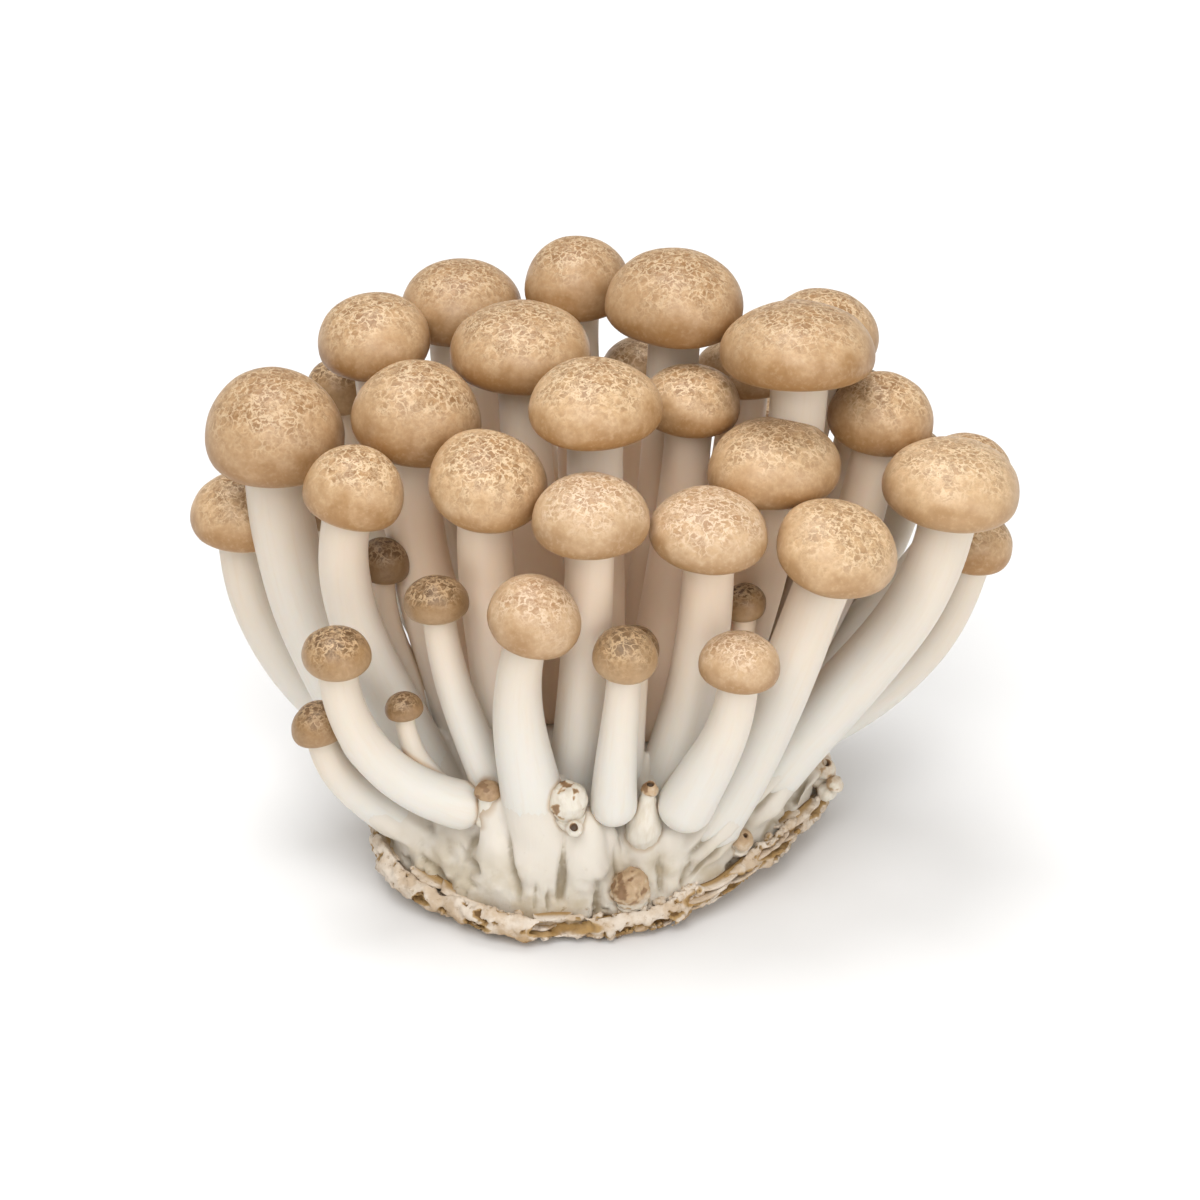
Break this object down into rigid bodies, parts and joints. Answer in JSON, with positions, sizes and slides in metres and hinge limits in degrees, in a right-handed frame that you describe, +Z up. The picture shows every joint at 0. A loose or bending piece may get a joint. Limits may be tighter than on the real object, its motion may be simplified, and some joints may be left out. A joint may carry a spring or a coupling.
{
  "type": "beech mushroom cluster",
  "caption": "Fresh cluster of brown beech mushrooms, round tan caps on curved white stems grown from one root block, standing on its torn base.",
  "frame": {"origin": "centre of the flat foot under the root block, where the cluster stands", "axes": "+Z up, +X along the cluster's longest way, -Y towards its fuller front"},
  "size_m": [0.1127, 0.0747, 0.0812],
  "materials": {
    "cap": "satin, pale net over tan",
    "young_cap": "satin, pale net over brown",
    "stem": "satin, faint lengthwise fibres",
    "root_mass": "matt, wrinkled",
    "crust": "rough, porous, brown stained"
  },
  "bodies": {
    "root": {"cap_01": "cap", "cap_02": "cap", "cap_03": "cap", "cap_04": "cap", "cap_05": "young_cap", "cap_06": "cap", "cap_07": "cap", "cap_08": "cap", "cap_09": "cap", "cap_10": "cap", "cap_11": "cap", "cap_12": "cap", "cap_13": "cap", "cap_14": "cap", "cap_15": "cap", "cap_16": "cap", "cap_17": "cap", "cap_18": "cap", "cap_19": "cap", "cap_20": "cap", "cap_21": "cap", "cap_22": "cap", "cap_23": "cap", "cap_24": "cap", "cap_25": "cap", "cap_26": "young_cap", "cap_27": "young_cap", "cap_28": "cap", "cap_29": "young_cap", "cap_30": "young_cap", "cap_31": "young_cap", "cap_32": "young_cap", "cap_33": "young_cap", "cap_34": "young_cap", "cap_35": "young_cap", "cap_36": "cap", "cap_37": "young_cap", "cap_38": "cap", "cap_39": "cap", "cap_40": "cap", "cap_41": "cap", "cap_42": "young_cap", "cap_43": "young_cap", "stem_01": "stem", "stem_02": "stem", "stem_03": "stem", "stem_08": "stem", "stem_12": "stem", "stem_16": "stem", "stem_21": "stem", "stem_22": "stem", "stem_24": "stem", "stem_28": "stem", "stem_29": "stem", "stem_31": "stem", "stem_32": "stem", "stem_34": "stem", "stem_36": "stem", "root_mass": "root_mass", "substrate_crust": "crust"}
  },
  "joints": []
}
